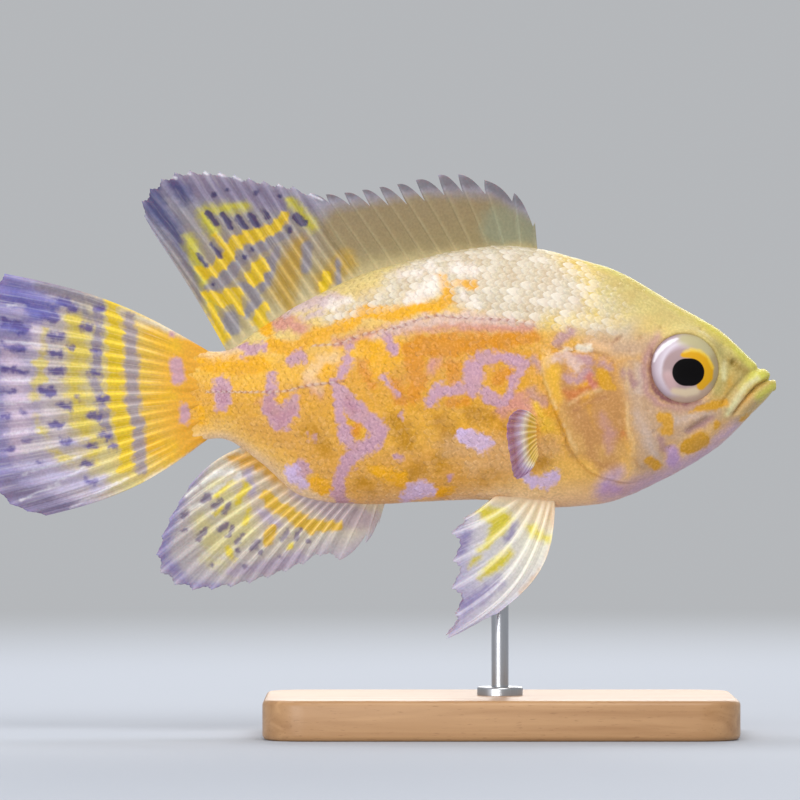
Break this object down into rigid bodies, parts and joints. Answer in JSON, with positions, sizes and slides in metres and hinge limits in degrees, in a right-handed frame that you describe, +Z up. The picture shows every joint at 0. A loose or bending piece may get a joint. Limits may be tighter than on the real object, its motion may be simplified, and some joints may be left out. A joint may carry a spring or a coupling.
{
  "type": "oscar fish",
  "caption": "Still, life-size model of a juvenile albino oscar fish with spread fins, held by one rod on a flat rounded display base.",
  "frame": {"origin": "centre of the display base's underside", "axes": "+X towards the fish's snout along its length, +Z up, -Y to the fish's right side, which faces the picture's camera"},
  "size_m": [0.112, 0.0426, 0.0793],
  "materials": {
    "scaled_skin": "satin scales, orange over lavender",
    "head_skin": "moist satin skin, cream and yellow",
    "fin_membrane": "thin translucent membrane with pale rays",
    "eye": "clear gloss over a gold and black eye",
    "base_wood": "satin beech",
    "rod_metal": "satin steel"
  },
  "bodies": {
    "root": {"head": "head_skin", "upper_jaw": "head_skin", "lower_jaw": "head_skin", "gill_cover_right": "head_skin", "gill_cover_left": "head_skin", "trunk": "scaled_skin", "tail_stem": "scaled_skin", "dorsal_fin": "fin_membrane", "anal_fin": "fin_membrane", "caudal_fin": "fin_membrane", "pectoral_fin_right": "fin_membrane", "pectoral_fin_left": "fin_membrane", "pelvic_fin_right": "fin_membrane", "pelvic_fin_left": "fin_membrane", "eye_right": "eye", "eye_left": "eye", "stand_base": "base_wood", "stand_rod": "rod_metal"}
  },
  "joints": []
}
